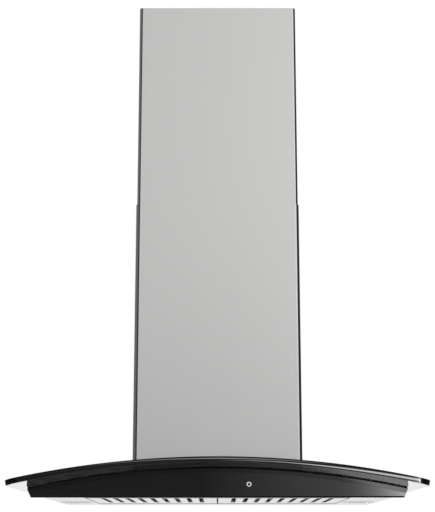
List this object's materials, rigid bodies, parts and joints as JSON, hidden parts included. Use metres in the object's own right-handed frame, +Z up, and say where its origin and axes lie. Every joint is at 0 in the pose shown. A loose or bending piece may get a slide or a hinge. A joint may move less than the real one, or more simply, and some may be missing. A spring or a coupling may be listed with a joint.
{
  "type": "range hood",
  "caption": "Wall range hood with a bent glass canopy, a black front panel, tilt-down grease filters and a telescopic chimney over a fan with non-return flaps.",
  "frame": {"origin": "middle of the two wall screw holes of the cleat, on the wall's face", "axes": "X to the right seen from the front, +Y into the wall, +Z up"},
  "size_m": [0.6, 0.462, 0.8397],
  "materials": {
    "glass": "clear toughened glass with ground edges",
    "black_panel": "black back-painted glass, polished",
    "symbol": "white print",
    "steel": "brushed stainless steel",
    "galvanised": "zinc-coated sheet",
    "seal": "black rubber",
    "black_plastic": "black moulding",
    "grey_plastic": "grey moulding",
    "white_plastic": "white moulding",
    "board": "coated circuit board",
    "mesh": "pleated mesh",
    "chrome": "polished",
    "lens": "frosted lens",
    "motor_steel": "painted steel"
  },
  "bodies": {
    "hood": {"glass_canopy": "glass", "seal_front": "seal", "seal_rear_left": "seal", "seal_rear_right": "seal", "front_panel": "black_panel", "power_symbol": "symbol", "touch_board": "board", "touch_housing": "black_plastic", "body_shell": "steel", "bottom_tray": "steel", "tray_screws": "chrome", "lamp_left": "chrome", "lamp_right": "chrome", "lamp_lens_left": "lens", "lamp_lens_right": "lens", "motor_box": "galvanised", "box_screws": "chrome", "wall_cleat": "galvanised", "hang_hook": "galvanised", "wall_spacer_left": "seal", "wall_spacer_right": "seal", "volute_left": "grey_plastic", "volute_right": "grey_plastic", "blower_motor": "motor_steel", "motor_spider": "galvanised", "motor_capacitor": "white_plastic", "duct_collar": "black_plastic", "flap_pin": "chrome", "control_box": "black_plastic", "control_cover": "black_plastic", "control_board": "board", "cable_gland": "black_plastic", "chimney_lower": "steel", "chimney_lug_left": "galvanised", "chimney_lug_right": "galvanised", "chimney_screws": "chrome", "glass_screws": "chrome", "glass_washers": "seal", "glass_bushes": "seal"},
    "upper_chimney": {"chimney_upper": "steel", "chimney_bracket": "galvanised", "bracket_screws": "chrome"},
    "fan": {"impeller": "black_plastic", "impeller_shaft": "chrome"},
    "front_flap": {"flap_front": "grey_plastic"},
    "rear_flap": {"flap_rear": "grey_plastic"},
    "filter_left": {"filter_face_left": "steel", "filter_mesh_left": "mesh", "filter_retainer_left": "steel", "filter_rod_left": "chrome"},
    "latch_left": {"filter_latch_left": "black_plastic"},
    "filter_right": {"filter_face_right": "steel", "filter_mesh_right": "mesh", "filter_retainer_right": "steel", "filter_rod_right": "chrome"},
    "latch_right": {"filter_latch_right": "black_plastic"}
  },
  "joints": [
    {"name": "chimney_slide", "type": "slide", "parent": "hood", "child": "upper_chimney", "axis": [0, 0, 1], "range_m": [-0.31, 0.04]},
    {"name": "fan_spin", "type": "hinge", "parent": "hood", "child": "fan", "pos_m": [0, -0.104, -0.102], "axis": [1, 0, 0], "continuous": true},
    {"name": "front_flap_hinge", "type": "hinge", "parent": "hood", "child": "front_flap", "pos_m": [0, -0.128, 0.0632], "axis": [-1, 0, 0], "range_deg": [0, 80]},
    {"name": "rear_flap_hinge", "type": "hinge", "parent": "hood", "child": "rear_flap", "pos_m": [0, -0.128, 0.0632], "axis": [1, 0, 0], "range_deg": [0, 80]},
    {"name": "filter_left_tilt", "type": "hinge", "parent": "hood", "child": "filter_left", "pos_m": [-0.09995, -0.0755, -0.2595], "axis": [1, 0, 0], "range_deg": [0, 60]},
    {"name": "latch_left_pull", "type": "slide", "parent": "filter_left", "child": "latch_left", "axis": [0, 1, 0], "range_m": [0, 0.004], "stiffness_N_per_m": 300, "springref_m": -0.003},
    {"name": "filter_right_tilt", "type": "hinge", "parent": "hood", "child": "filter_right", "pos_m": [0.09995, -0.0755, -0.2595], "axis": [1, 0, 0], "range_deg": [0, 60]},
    {"name": "latch_right_pull", "type": "slide", "parent": "filter_right", "child": "latch_right", "axis": [0, 1, 0], "range_m": [0, 0.004], "stiffness_N_per_m": 300, "springref_m": -0.003}
  ]
}
